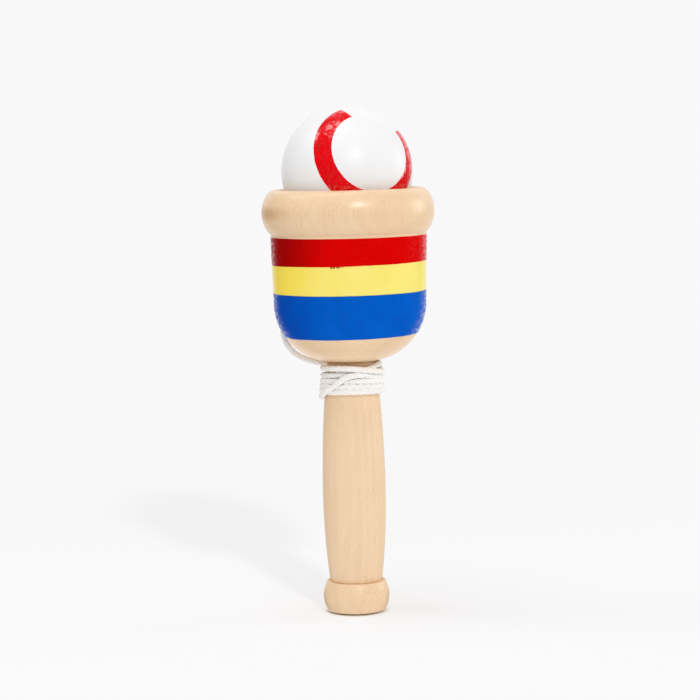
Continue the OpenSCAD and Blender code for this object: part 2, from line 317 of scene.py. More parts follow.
def beech(name, heart, gloss_below, shade_band_z=None):
    """Sanded and waxed beech: nearly flat growth layers, fine upright fibres and short dark ray flecks.

    The wax is polished below the height gloss_below. The last argument, when given, is the height of a band
    of painted shade round the rim's middle, painted darker mostly at the left."""
    material, place, shader = principled(name, 0.45, Specular_IOR_Level=0.6)
    pale, warm, ray = (0.95, 0.71, 0.465, 1), (0.85, 0.575, 0.34, 1), (0.62, 0.385, 0.21, 1)
    # Painted shade: the colour, reach from its middle and left side of a darker band round the rim's middle
    painted_shade_colour = (0.63, 0.345, 0.13, 1)
    layer_w = 2.3 * mm
    shade_band_reach, shade_band_side = (0.3 * mm, 3.0 * mm), (-27 * mm, -15 * mm)
    cuts_per_m = 5200
    relief_depth = 0.02 * mm
    wander = place.noise((60, 60, 7), 2) * 9
    flat = place.vector("MULTIPLY", (1, 1, 0)).vector("SUBTRACT", (*heart, 0))
    depth = flat.node("ShaderNodeVectorMath", {0: flat}, out="Value", operation="LENGTH")
    layers = place.maths("SINE", depth * (2 * math.pi / layer_w) + wander) * 0.5 + 0.5
    fibres = place.noise((2300, 2300, 60), 3)
    streaks = place.noise((420, 420, 14), 2)
    cloud = place.noise((55, 55, 28), 2)
    ray_place = place.vector("MULTIPLY", (1800, 1800, 700))
    rays = ray_place.node("ShaderNodeTexVoronoi", {"Vector": ray_place, "Scale": 1}, out="Distance")
    rarity = place.noise((160, 160, 90), 1).between(0.45, 0.7)
    flecks = (1 - rays.between(0.12, 0.36)) * rarity
    stain = (
        fibres.between(0.3, 0.75) * 0.26
        + layers * 0.14
        + streaks.between(0.35, 0.7) * 0.16
        + cloud.between(0.3, 0.7) * 0.3
    )
    colour = (flecks * 0.5).mix(stain.mix(pale, warm), ray)
    spot = place.node("ShaderNodeSeparateXYZ", {0: place})
    upright = spot.out("Z")
    # Painted shade: a darker band round the rim's middle, deepest at the left, with a little fibre tone in
    # it
    if shade_band_z is not None:
        shade_band = 1 - place.maths("ABSOLUTE", upright - shade_band_z).between(*shade_band_reach)
        left = 1 - spot.out("X").between(*shade_band_side)
        painted_shade = shade_band * (fibres.between(0.35, 0.7) * 0.1 + left * 0.74)
        colour = painted_shade.mix(colour, painted_shade_colour)
    plug(colour, shader, "Base Color")
    dull = upright.between(gloss_below - polish_fade, gloss_below)
    plug(0.27 + dull * 0.17 + fibres * 0.08, shader, "Roughness")
    cut_lines = upright.node(
        "ShaderNodeTexNoise", {"W": upright, "Scale": cuts_per_m, "Detail": 1}, noise_dimensions="1D"
    )
    relief = fibres * 0.6 + flecks * -0.3 + cut_lines * 0.25
    plug(bumped(relief, relief_depth), shader, "Normal")
    return material


grip_r = grip_d / 2
upper_arc = arc_radius(grip_r - neck_d / 2, handle_len - grip_peak)
lower_arc = arc_radius(grip_r - ankle_d / 2, grip_peak - knob_h)


def neck_r(z):
    return grip_r - upper_arc + math.sqrt(upper_arc**2 - (z - grip_peak) ** 2)


def scored(point):
    """The knob's outline point with the chisel's fine lines cut into it."""
    r, z = point
    return r - line_depth * max(math.exp(-(((z - line) / line_half) ** 2)) for line in knob_lines), z


knob_at = (knob_d / 2 - knob_round, knob_peak)
edge_z = foot_rise + foot_round
edge_at = (knob_at[0] + math.sqrt((knob_round - foot_round) ** 2 - (knob_peak - edge_z) ** 2), edge_z)
edge_turn = angle_of(knob_at, edge_at)
foot_end = (foot_d / 2, 0)
edge_apart = math.dist(foot_end, edge_at)
under_slope = angle_of(foot_end, edge_at) - math.degrees(math.asin(foot_round / edge_apart))
shoulder_turn = math.degrees(math.asin((knob_h - knob_peak) / knob_round))
groove_at = (ankle_d / 2, knob_h)
upper_at = (grip_r - upper_arc, grip_peak)
lower_at = (grip_r - lower_arc, grip_peak)
groove_end = (ankle_d / 2, knob_h + groove_round)
neck_end = (neck_d / 2, handle_len - neck_chamfer)
tenon_r = tenon_d / 2
tenon_end = handle_len + tenon_len
handle_outline = (
    [(0, 0), (foot_d / 4, 0), foot_end]
    + arc(edge_at, foot_round, under_slope - 90, edge_turn, foot_steps)
    + [scored(p) for p in arc(knob_at, knob_round, edge_turn, shoulder_turn, knob_steps)[1:]]
    + arc(groove_at, groove_round, 0, -groove_sweep, groove_steps)
    + arc(lower_at, lower_arc, angle_of(lower_at, groove_end), 0, ankle_steps)[1:]
    + arc(upper_at, upper_arc, 0, angle_of(upper_at, neck_end), neck_steps)[1:]
    + [(neck_d / 2 - neck_chamfer, handle_len), (tenon_r, handle_len)]
    + [(tenon_r, tenon_end - tenon_chamfer), (tenon_r - tenon_chamfer, tenon_end), (0, tenon_end)]
)
handle_wood = beech("handle_beech", handle_heart, knob_h)
handle = spun("handle_turned", handle_outline, handle_segments, handle_wood)
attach(handle, "handle")
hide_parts("handle")


# Cup
# A second beech turning, glued on the tenon: a rolled rim, a wall that leans out a little, a round
# base, and a tapered hollow with a round floor that catches the ball.
cup_h = 52.5 * mm
rim_d = 52.6 * mm
rim_h = 14 * mm
rim_swell = 10 * mm
lip_round = 3.2 * mm
mouth_d = 43.3 * mm
mouth_ease = 0.8 * mm
wall_top_d = 47.4 * mm
wall_low_d = 46.3 * mm
base_round = 18 * mm
base_face_d = 14.4 * mm
seat_angle = 37
floor_round = 8 * mm
tenon_clear = 0.1 * mm
tenon_spare = 0.8 * mm
ball_d = 40 * mm
seat_gap = 0.3 * mm
shade_band_rise = 0.2 * mm
cup_heart = (-52 * mm, 60 * mm)
base_steps = 60
wall_steps = 20
underlip_steps = 14
swell_steps = 40
lip_steps = 20
ease_steps = 8
floor_steps = 14
cup_segments = 240

rim_top = handle_len + cup_h
rim_mid = rim_top - rim_h / 2
rim_low = rim_top - rim_h
mouth_r = mouth_d / 2
swell_r = rim_d / 2 - rim_swell
lip_rise = rim_h / 2 - lip_round
crest_r = swell_r + math.sqrt((rim_swell - lip_round) ** 2 - lip_rise**2)
round_r = wall_low_d / 2 - base_round
round_drop = math.sqrt(base_round**2 - (base_face_d / 2 - round_r) ** 2)
round_top = handle_len + round_drop
wall_lean = (wall_top_d - wall_low_d) / 2 / (rim_low - round_top)
seat_turn = math.radians(seat_angle)
ball_r = ball_d / 2
seat_r = ball_r + seat_gap
ball_z = rim_top + (seat_r / math.cos(seat_turn) - mouth_r) / math.tan(seat_turn)
taper_tip = ball_z - seat_r / math.sin(seat_turn)
floor_at = (0, taper_tip + floor_round / math.sin(seat_turn))


def wall_r(z):
    """Radius of the cup's wall or round base at a height."""
    if z < round_top:
        return round_r + math.sqrt(base_round**2 - (round_top - z) ** 2)
    return wall_low_d / 2 + wall_lean * (z - round_top)


lip_low = (crest_r, rim_mid - lip_rise)
lip_high = (crest_r, rim_mid + lip_rise)
swell_at = (swell_r, rim_mid)
swell_turn = angle_of(swell_at, lip_high)
wall_reach = (wall_r(rim_low) - crest_r) / lip_round
wall_end = rim_mid - lip_rise - lip_round * math.sqrt(1 - wall_reach**2)
ease_aside = mouth_ease * (1 - math.sin(seat_turn)) / math.cos(seat_turn)
ease_at = (mouth_r + ease_aside, rim_top - mouth_ease)
ease_start = 90 - math.degrees(math.asin(ease_aside / lip_round))
socket_r = tenon_r + tenon_clear
socket_top = tenon_end + tenon_spare
base_turn = -math.degrees(math.asin(round_drop / base_round))
wall_heights = [round_top + (wall_end - round_top) * i / wall_steps for i in range(1, wall_steps)]
underlip_turn = angle_of(lip_low, (wall_r(wall_end), wall_end))
cup_outline = (
    [(0, socket_top), (socket_r, socket_top), (socket_r, handle_len)]
    + arc((round_r, round_top), base_round, base_turn, 0, base_steps)
    + [(wall_r(z), z) for z in wall_heights]
    + arc(lip_low, lip_round, underlip_turn, -swell_turn, underlip_steps)
    + arc(swell_at, rim_swell, -swell_turn, swell_turn, swell_steps)[1:]
    + arc(lip_high, lip_round, swell_turn, ease_start, lip_steps)[1:]
    + arc(ease_at, mouth_ease, 90, 180 - seat_angle, ease_steps)
    + arc(floor_at, floor_round, -seat_angle, -90, floor_steps)
)
# The cup's wood takes a band of painted shade just above the rim's middle
cup_wood = beech("cup_beech", cup_heart, rim_top + polish_fade, rim_mid + shade_band_rise)
cup = spun("cup_turned", cup_outline, cup_segments, cup_wood)
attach(cup, "handle")
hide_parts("cup")


# Paint bands
# Three coats of gloss enamel, laid on by hand while the cup turned: red under the rim, then yellow and
# blue. Their edges wander a little, and a few specks of red fell on the yellow.
paint_t = 0.12 * mm
paint_seat = 0.01 * mm
band_drop = 0.7 * mm
red_w = 8.2 * mm
yellow_w = 8.8 * mm
blue_w = 13.3 * mm
edge_ridge = 1.12
edge_steps = (0, 0.06 * mm, 0.16 * mm, 0.32 * mm, 0.6 * mm)
edge_heights = (0, 0.62, 0.95, edge_ridge, 1)
coat_rows = 12
coat_crease = math.radians(60)
# Painted shade: the coats turn to a deeper colour towards the left side of the cup
left_shade_reach = (-22 * mm, -4 * mm)
sway_waves = 2.2
jitter_waves = 14
jitter_share = 0.35
jitter_seed = 7
speckled_gloss = (0, 1)
even_gloss = (0.6, 0.7)
speck_red = (0.2, 0.012, 0.006, 1)
speck_swell = 0.3
speck_sides = 16
speck_rings = 10
specks = ((-13, 0.32 * mm), (-11, 0.3 * mm), (-8.8, 0.25 * mm), (-7.3, 0.24 * mm), (-5.0, 0.15 * mm))
speck_drop = 0.18 * mm


def enamel(name, colour, thin, left_shade, gloss):
    """Gloss enamel on wood: thin in places, and painted a deeper colour towards the left as shade.

    The wood's fibres and the paint's peel show in it, and pimples change its gloss between two weights."""
    material, place, shader = principled(
        name, 0.2, Specular_IOR_Level=0.02, Coat_Roughness=0.1, Coat_IOR=1.26
    )
    peel_depth = 0.13 * mm
    cover = place.noise((130, 130, 130), 3).between(0.25, 0.8)
    spot = place.node("ShaderNodeSeparateXYZ", {0: place})
    aside = spot.out("X")
    # Painted shade: towards the left the coat takes its deeper colour
    plug(aside.between(*left_shade_reach).mix(left_shade, cover.mix(colour, thin)), shader, "Base Color")
    fibres = place.noise((900, 900, 170), 2)
    peel = place.noise((1500, 1500, 1500), 1)
    round_it = place.maths("ARCTAN2", aside, 0 - spot.out("Y")) * (wall_top_d / 2)
    skin = place.node("ShaderNodeCombineXYZ", {"X": round_it, "Y": spot.out("Z"), "Z": 0})
    pimples = skin.noise((550, 900, 1), 1).between(0.47, 0.57)
    plug(gloss[0] + pimples * (gloss[1] - gloss[0]), shader, "Coat Weight")
    plug(bumped(fibres * 0.2 + peel, peel_depth), shader, "Normal")
    return material


def edge(height, tilt, wander, seed):
    """The height of a coat's edge round the cup: a slight tilt and a hand's wander."""

    def at(a):
        x, y = math.cos(a), math.sin(a)
        sway = noise.noise(Vector((sway_waves * x, sway_waves * y, seed)))
        jitter = noise.noise(Vector((jitter_waves * x, jitter_waves * y, seed + jitter_seed)))
        return height + tilt * x + wander * (sway + jitter_share * jitter)

    return at


def coat(name, low, high, finish):
    """A thin shell on the cup's wall, between two edges, with rounded rims."""
    rows = list(zip(edge_steps, edge_heights))
    mesh = bpy.data.meshes.new(name)
    points, faces = [], []
    for k in range(cup_segments):
        a = 2 * math.pi * k / cup_segments
        bottom, top = low(a), high(a)
        ring = [(bottom + s, h) for s, h in rows]
        first, last = bottom + edge_steps[-1], top - edge_steps[-1]
        ring += [(first + (last - first) * i / coat_rows, 1) for i in range(1, coat_rows)]
        ring += [(top - s, h) for s, h in reversed(rows)]
        ring += [(last + (first - last) * i / coat_rows, 0) for i in range(coat_rows + 1)]
        for z, h in ring:
            r = wall_r(z) + paint_seat + paint_t * h
            points.append((r * math.cos(a), r * math.sin(a), z))
    loop = len(points) // cup_segments
    for k in range(cup_segments):
        here, there = k * loop, (k + 1) % cup_segments * loop
        for i in range(loop):
            j = (i + 1) % loop
            faces.append((here + i, there + i, there + j, here + j))
    mesh.from_pydata(points, [], faces)
    mesh.materials.append(finish)
    face_outwards(mesh, coat_crease)
    piece = bpy.data.objects.new(name, mesh)
    bpy.context.scene.collection.objects.link(piece)
    return piece


red_top = wall_end - band_drop
yellow_top = red_top - red_w
blue_top = yellow_top - yellow_w
blue_low = blue_top - blue_w
red_high = edge(red_top, 0.02 * mm, 0.03 * mm, 1)
red_edge = edge(yellow_top, 0.3 * mm, 0.10 * mm, 2)
blue_edge = edge(blue_top, 0.1 * mm, 0.10 * mm, 3)
base_edge = edge(blue_low, 0.25 * mm, 0.12 * mm, 4)
# Each coat's colours: its own, a thin one, and a deeper one painted at the left as shade
red_paint = enamel(
    "red_enamel", (0.68, 0.0, 0.0, 1), (0.73, 0.0, 0.0, 1), (0.34, 0.0, 0.0, 1), speckled_gloss
)
yellow_paint = enamel(
    "yellow_enamel", (0.96, 0.80, 0.17, 1), (0.97, 0.84, 0.23, 1), (0.97, 0.76, 0.09, 1), even_gloss
)
blue_paint = enamel(
    "blue_enamel", (0.0, 0.094, 0.52, 1), (0.0, 0.117, 0.595, 1), (0.0, 0.07, 0.45, 1), speckled_gloss
)
for name, low, high, finish, slot in (
    ("red_band", red_edge, red_high, red_paint, "red_paint"),
    ("yellow_band", blue_edge, red_edge, yellow_paint, "yellow_paint"),
    ("blue_band", base_edge, blue_edge, blue_paint, "blue_paint"),
):
    band = coat(name + "_coat", low, high, finish)
    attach(band, "handle")
    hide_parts(name)

drops = bmesh.new()
for degrees, r in specks:
    a = math.radians(degrees - 90)
    z = red_edge(a) - speck_drop
    out = Vector((math.cos(a), math.sin(a), 0))
    squash = Matrix.Diagonal((r, r, speck_swell * r, 1))
    place = Matrix.Translation(out * (wall_r(z) + paint_t) + Vector((0, 0, z)))
    turn = Vector((0, 0, 1)).rotation_difference(out).to_matrix().to_4x4()
    bmesh.ops.create_uvsphere(
        drops, u_segments=speck_sides, v_segments=speck_rings, radius=1, matrix=place @ turn @ squash
    )
drop_mesh = bpy.data.meshes.new("red_specks")
drops.to_mesh(drop_mesh)
drops.free()
drop_mesh.shade_smooth()
drop_mesh.materials.append(enamel("red_speck", speck_red, speck_red, speck_red, speckled_gloss))
specks_piece = bpy.data.objects.new("red_specks", drop_mesh)
bpy.context.scene.collection.objects.link(specks_piece)
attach(specks_piece, "handle")


# Ball
# A turned wooden ball in white gloss enamel. The cord's bore runs through it, and a wider pocket at the
# bore's far end hides the stopper knot.
bore_turn = math.radians(115)
bore_rise = math.radians(30)
cord_d = 1.8 * mm
bore_clear = 0.4 * mm
pocket_d = 6.6 * mm
pocket_depth = 6.2 * mm
bore_ease = 0.25 * mm
ball_steps = 140
bore_steps = 12
ball_segments = 160

cord_r = cord_d / 2
bore_r = cord_r + bore_clear
pocket_r = pocket_d / 2
pocket_floor = ball_r - pocket_depth
ball_at = Vector((0, 0, ball_z))
bore_axis = Vector(
    (
        math.cos(bore_rise) * math.cos(bore_turn),
        math.cos(bore_rise) * math.sin(bore_turn),
        math.sin(bore_rise),
    )
)
bore_frame = (
    Matrix.Translation(ball_at)
    @ Matrix.Rotation(bore_turn, 4, "Z")
    @ Matrix.Rotation(math.pi / 2 - bore_rise, 4, "Y")
)


def ball_enamel():
    """Thick white enamel, dipped: a faint orange peel and slight clouds in its gloss."""
    material, place, shader = principled("white_enamel", 0.25, Specular_IOR_Level=0.35)
    cool_white, white = (0.885, 0.885, 0.89, 1), (0.91, 0.91, 0.91, 1)
    peel_depth = 0.02 * mm
    cloud = place.noise((90, 90, 90), 2)
    plug(cloud.mix(cool_white, white), shader, "Base Color")
    plug(0.28 + cloud * 0.12, shader, "Roughness")
    peel = place.noise((520, 520, 520), 2)
    plug(bumped(peel, peel_depth), shader, "Normal")
    return material


bore_mouth = math.degrees(math.acos((bore_r + bore_ease) / ball_r))
pocket_mouth = math.degrees(math.acos((pocket_r + bore_ease) / ball_r))
bore_top = math.sqrt(ball_r**2 - bore_r**2) - bore_ease
pocket_top = -math.sqrt(ball_r**2 - pocket_r**2) + bore_ease
ball_outline = (
    arc((0, 0), ball_r, -pocket_mouth, bore_mouth, ball_steps)
    + [(bore_r, bore_top + (-pocket_floor - bore_top) * i / bore_steps) for i in range(bore_steps + 1)]
    + [(pocket_r, -pocket_floor), (pocket_r, pocket_top)]
)
ball_outline.append(ball_outline[0])
ball = spun("ball_enamelled", ball_outline, ball_segments, ball_enamel())
ball.data.transform(bore_frame)
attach(ball, "ball")
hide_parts("ball")


# Ball ring
# A red enamel ring printed on the ball, broken at the top, where the enamel stays bare white. The
# print is thin, and its edges are a little rough.
ring_turn = math.radians(-63.5)
ring_rise = math.radians(21)
ring_inner = 37.5
ring_outer = 54
ring_bare = 73
ring_bare_at = 21
ring_rough = 0.25
ring_waves = 120
ring_seeds = ((11, 0.3), (29, 0.3))
ring_t = 0.06 * mm
ring_seat = 0.005 * mm
ring_edge_t = 0.02
ring_side_ease = 6
ring_end_ease = 60
drill_past = 3 * mm
ring_across = 14
ring_along = 300

ring_frame = (
    Matrix.Translation(ball_at)
    @ Matrix.Rotation(ring_turn, 4, "Z")
    @ Matrix.Rotation(math.pi / 2 - ring_rise, 4, "Y")
)


def print_ink():
    """Printed red gloss: thin and speckled, so the ball's peel shows in it."""
    material, place, shader = principled(
        "ring_print", 0.25, Specular_IOR_Level=0.1, Coat_Roughness=0.15, Coat_IOR=1.9
    )
    ink, thin_ink = (0.78, 0.001, 0.004, 1), (0.83, 0.004, 0.008, 1)
    peel_depth = 0.12 * mm
    peel = place.noise((1500, 1500, 1500), 2)
    cover = place.noise((240, 240, 240), 3).between(0.3, 0.8)
    pimples = place.noise((1000, 1000, 1000), 1).between(0.46, 0.56)
    plug(cover.mix(ink, thin_ink), shader, "Base Color")
    plug(0.1 + peel * 0.12, shader, "Roughness")
    plug(pimples, shader, "Coat Weight")
    plug(bumped(peel, peel_depth), shader, "Normal")
    return material


def ring_mesh(name):
    """The ring as a thin shell: its upper and under skins share their edge."""
    start = 180 - ring_bare_at + ring_bare / 2
    sweep = 360 - ring_bare
    points, faces = [], []
    for i in range(ring_along + 1):
        share = i / ring_along
        a = math.radians(start + sweep * share)
        ragged = [noise.noise(Vector((ring_waves * share, *seed))) * ring_rough for seed in ring_seeds]
        inner, outer = ring_inner + ragged[0], ring_outer + ragged[1]
        end_rim = ring_end_ease * min(share, 1 - share) + ring_edge_t
        for skin in (1, 0):
            for k in range(ring_across + 1):
                across = k / ring_across
                lean = math.radians(inner * (1 - across) + outer * across)
                side_rim = ring_side_ease * min(across, 1 - across) + ring_edge_t
                r = ball_r + ring_seat + ring_t * skin * min(1, side_rim, end_rim)
                out = r * math.sin(lean)
                points.append((out * math.cos(a), out * math.sin(a), r * math.cos(lean)))
    width = ring_across + 1
    for i in range(ring_along):
        for k in range(ring_across):
            for skin in (0, 1):
                here = (i * 2 + skin) * width + k
                there = here + 2 * width
                faces.append((here, here + 1, there + 1, there))
        for k in (0, ring_across):
            here = i * 2 * width + k
            faces.append((here, here + width, here + 3 * width, here + 2 * width))
    for i in (0, ring_along):
        for k in range(ring_across):
            here = i * 2 * width + k
            faces.append((here, here + 1, here + width + 1, here + width))
    mesh = bpy.data.meshes.new(name)
    mesh.from_pydata(points, [], faces)
    mesh.transform(ring_frame)
    face_outwards(mesh, coat_crease)
    return mesh


ring_skin = ring_mesh("ball_ring_print")
ring_skin.materials.append(print_ink())
ring = bpy.data.objects.new("ball_ring_print", ring_skin)
bpy.context.scene.collection.objects.link(ring)
drilled(ring, pocket_r + bore_ease, ball_at, ball_at - bore_axis * (ball_r + drill_past))
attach(ring, "ball")
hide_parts("ball_ring")


# Cord
# Four-ply twisted cotton. Its fixed end is glued into the back of the neck, it is wound round the neck
# with one strand slanting over the others, and its free stretch runs up behind the cup to the ball.
plies = 4
ply_r = 0.53 * mm
ply_lay = 0.42 * mm
twist_per_m = 115
ring_step = 0.36 * mm
ply_sides = 12
cord_show_d = 2 * (ply_lay + ply_r)
cord_crease = math.radians(80)
layer_step = 1.8 * mm
wind_press = 0.15 * mm
anchor_z = 67.73 * mm
anchor_len = 6 * mm
anchor_out = 1.1 * mm
anchor_inside = 1 * mm
anchor_clear = 0.1 * mm
bend_steps = 6
wind_steps = 7
# It was wound by hand: each row is degrees round the neck, height in mm, and layers under the strand
first_turns = [
    (104, 67.75, 0.4), (125, 68.1, 0), (150, 68.5, 0), (180, 68.7, 0), (225, 68.6, 0),
    (270, 68.75, 0), (315, 68.55, 0.05), (360, 68.35, 0.2), (405, 68.6, 0.1), (450, 68.9, 0),
    (540, 69.95, 0), (585, 70.2, 0), (630, 70.3, 0), (675, 70.0, 0), (720, 69.75, 0),
    (810, 70.5, 0), (900, 71.5, 0), (945, 71.8, 0), (990, 72.05, 0), (1035, 71.65, 0.1),
    (1080, 71.2, 0.2), (1125, 71.5, 0.1), (1170, 72.1, 0), (1260, 73.2, 0), (1305, 73.7, 0),
    (1350, 74.4, 0), (1380, 75.2, 0), (1410, 76.1, 0), (1440, 76.5, 0.05), (1470, 76.1, 0.15),
]
fall_behind = [
    (1490, 74.7, 0.8), (1505, 72.9, 1), (1518, 71.2, 1), (1530, 69.8, 1), (1543, 68.5, 1.5),
    (1553, 67.7, 1.4), (1563, 67.1, 1), (1577, 66.7, 0.4), (1592, 66.7, 0), (1608, 66.9, 0),
]
slanting_strand = [
    (1622, 67.0, 0), (1639, 67.0, 0.25), (1650, 67.6, 0.7), (1662, 68.7, 1), (1674, 70.0, 1),
    (1684, 71.3, 1), (1694, 72.65, 1), (1706, 73.6, 0.9), (1722, 73.85, 0.6), (1740, 73.55, 0.3),
    (1765, 72.9, 0.1), (1800, 72.4, 0.1),
]
over_the_back = [
    (1830, 72.7, 0.6), (1848, 72.95, 1.6), (1863, 73.2, 2), (1880, 73.6, 1.6), (1900, 74.0, 0.8),
    (1922, 74.4, 0.2), (1950, 74.95, 0), (1980, 75.4, 0.1),
]
top_strand = [
    (2010, 75.8, 0.5), (2040, 75.95, 0.9), (2070, 75.85, 1), (2100, 75.2, 1), (2130, 74.4, 0.7),
    (2160, 73.9, 0.4), (2185, 74.2, 0.6), (2208, 74.65, 1.7), (2230, 75.05, 1.2), (2248, 75.4, 0.6),
]
lead_route = [
    (-5.0, 8.8, 75.8), (-9.0, 8.1, 76.15), (-11.5, 7.9, 76.7), (-14.9, 8.6, 77.8),
    (-18.2, 10.0, 79.9), (-20.6, 12.6, 83.6), (-21.2, 16.0, 90.0), (-20.3, 18.2, 98.0),
    (-18.9, 19.9, 108.0), (-17.2, 21.5, 118.0), (-15.9, 22.7, 128.0), (-14.7, 23.5, 136.0),
    (-13.8, 23.9, 142.0), (-12.0, 22.5, 146.5),
]
stub_len = 1.5 * mm
lead_straight = 2.5 * mm
bore_meet = 3 * mm
lead_steps = 12


def bezier(a, b, c, d, s):
    return (1 - s) ** 3 * a + 3 * (1 - s) ** 2 * s * b + 3 * (1 - s) * s * s * c + s**3 * d


def smoothed(points, steps):
    """A smooth line through points, with so many steps between two of them."""
    line = []
    last = len(points) - 1
    for i in range(last):
        a, b, c, d = points[max(i - 1, 0)], points[i], points[i + 1], points[min(i + 2, last)]
        line += [bezier(b, b + (c - a) / 6, c - (d - b) / 6, c, k / steps) for k in range(steps)]
    return line + [points[last]]


def wound(degrees, height, layers):
    """The cord's middle on the neck, by degrees from the right-hand side, height in mm and layers."""
    a, z = math.radians(degrees), height * mm
    r = neck_r(z) + cord_show_d / 2 - wind_press + layer_step * layers
    return Vector((r * math.cos(a), r * math.sin(a), z))


# A tree that lays plies round a path, each turning with the distance along it
ply_tree, given = node_tree(
    "twisted_cord",
    {
        "Plies": "NodeSocketInt", "Ply radius": "NodeSocketFloat", "Lay": "NodeSocketFloat",
        "Twist": "NodeSocketFloat", "Spacing": "NodeSocketFloat", "Sides": "NodeSocketInt",
        "Finish": "NodeSocketMaterial",
    },
)
route = given.node("GeometryNodeMeshToCurve", {"Mesh": given})
even = given.node(
    "GeometryNodeResampleCurve", {"Curve": route, "Length": given.out("Spacing")}, mode="LENGTH"
)
copies = given.node(
    "GeometryNodeDuplicateElements", {"Geometry": even, "Amount": given.out("Plies")}, domain="SPLINE"
)
along = given.node("GeometryNodeSplineParameter", out="Length")
side = given.node("GeometryNodeInputNormal", out="Normal")
way = given.node("GeometryNodeInputTangent")
turn = (copies.out("Duplicate Index") / given.out("Plies") + along * given.out("Twist")) * (2 * math.pi)
first = side.scaled(given.maths("COSINE", turn) * given.out("Lay"))
second = way.vector("CROSS_PRODUCT", side).scaled(given.maths("SINE", turn) * given.out("Lay"))
laid = given.node("GeometryNodeSetPosition", {"Geometry": copies, "Offset": first.vector("ADD", second)})
marked = given.node("GeometryNodeStoreNamedAttribute", {"Geometry": laid, "Name": "along", "Value": along})
loop = given.node(
    "GeometryNodeCurvePrimitiveCircle",
    {"Resolution": given.out("Sides"), "Radius": given.out("Ply radius")},
)
around = given.node(
    "GeometryNodeStoreNamedAttribute",
    {"Geometry": loop, "Name": "around", "Value": given.node("GeometryNodeInputPosition")},
    data_type="FLOAT_VECTOR",
)
plied = given.node("GeometryNodeCurveToMesh", {"Curve": marked, "Profile Curve": around, "Fill Caps": True})
close_tree(plied, given)


def cotton():
    """Undyed spun cotton: fine fibres wind along each ply, with soft shade between and a little sheen."""
    material, place, shader = principled(
        "cotton", 0.9, Specular_IOR_Level=0.15, Sheen_Weight=0.2, Sheen_Roughness=0.5
    )
    hollow, pale, paler = (0.88, 0.845, 0.79, 1), (0.95, 0.935, 0.905, 1), (0.955, 0.945, 0.925, 1)
    starts_round, starts_per_m = 7, 3600
    fuzz_depth = 0.045 * mm
    along = place.node("ShaderNodeAttribute", out="Fac", attribute_name="along")
    around = place.node("ShaderNodeAttribute", out="Vector", attribute_name="around")
    xyz = place.node("ShaderNodeSeparateXYZ", {0: around})
    angle = place.maths("ARCTAN2", xyz.out("Y"), xyz.out("X"))
    stray = place.noise((900, 900, 900), 2) * 5
    fibres = place.maths("SINE", angle * starts_round + along * starts_per_m + stray) * 0.5 + 0.5
    lint = place.noise((2600, 2600, 2600), 3)
    tint = place.noise((140, 140, 140), 2)
    shade = (fibres * 0.35 + lint * 0.65).between(0.1, 0.6)
    plug(shade.mix(hollow, tint.mix(pale, paler)), shader, "Base Color")
    plug(bumped(fibres * 0.6 + lint * 0.8, fuzz_depth), shader, "Normal")
    return material


def twisted(name, path, finish, size=1.0):
    """A length of cord along a path, as one mesh of its plies."""
    edges = [(i, i + 1) for i in range(len(path) - 1)]
    values = {
        "Plies": plies, "Ply radius": ply_r * size, "Lay": ply_lay * size, "Twist": twist_per_m / size,
        "Spacing": ring_step, "Sides": ply_sides, "Finish": finish,
    }
    piece = grown(name, [tuple(p) for p in path], edges, ply_tree, values)
    face_outwards(piece.data, cord_crease)
    return piece


anchor_y = neck_r(anchor_z)
anchor_run = [Vector((0, anchor_y + out, anchor_z)) for out in (-anchor_len, -anchor_inside, anchor_out)]
anchor_tip = anchor_run[0]
wound_rows = first_turns + fall_behind + slanting_strand + over_the_back + top_strand
winding = smoothed([Vector(row) for row in wound_rows], wind_steps)
bore_out = ball_at + bore_axis * (ball_r + stub_len)
bore_in = ball_at + bore_axis * (ball_r - bore_meet)
lead = smoothed(
    [wound(*winding[-2]), wound(*winding[-1])]
    + [Vector(p) * mm for p in lead_route]
    + [bore_out + bore_axis * lead_straight, bore_out, ball_at + bore_axis * ball_r, bore_in],
    lead_steps,
)
anchor_bend = smoothed(anchor_run + [wound(*row) for row in winding[:2]], bend_steps)
cord_path = anchor_bend[:-1] + [wound(*row) for row in winding[1:-2]] + lead
cord_len = sum((b - a).length for a, b in zip(cord_path, cord_path[1:]))
cotton_finish = cotton()
cord = twisted("cord", cord_path, cotton_finish)
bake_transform(cord)
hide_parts("cord_winding", "cord_lead", "cord_anchor")
drilled(handle, cord_show_d / 2 + anchor_clear, (0, anchor_y + drill_past, anchor_z), anchor_tip)


# Stopper knot
# The cord's end runs through the ball's bore and is tied in an overhand knot, pulled tight, in the
# pocket. It holds the ball on the cord.
knot_size = 0.84
knot_lobe = 0.78 * mm
knot_half = 0.8 * mm
knot_open = 0.55
knot_points = 60
knot_drop = 2.1 * mm
knot_at = -pocket_floor - knot_drop
bore_stops = (ball_r - bore_meet, 6 * mm, -4 * mm, 1 * mm - pocket_floor)
knot_tail = Vector((1.3 * mm, -1.7 * mm, -19.0 * mm))


def trefoil(t):
    """A point of the overhand knot, in the bore's own frame."""
    x = knot_lobe * (math.sin(t) + 2 * math.sin(2 * t))
    y = knot_lobe * (math.cos(t) - 2 * math.cos(2 * t))
    return Vector((x, y, knot_at - knot_half * math.sin(3 * t)))


knot_start = math.pi + knot_open
knot_sweep = 2 * math.pi - 2 * knot_open
knot = [trefoil(knot_start + knot_sweep * i / knot_points) for i in range(knot_points + 1)]
bore_run = [Vector((0, 0, z)) for z in bore_stops]
stopper_points = bore_run + knot + [knot_tail]
stopper_path = [bore_frame @ p for p in smoothed(stopper_points, bend_steps)]
stopper = twisted("stopper_knot", stopper_path, cotton_finish, knot_size)
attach(stopper, "tether")
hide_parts("ball_cord", "ball_knot")


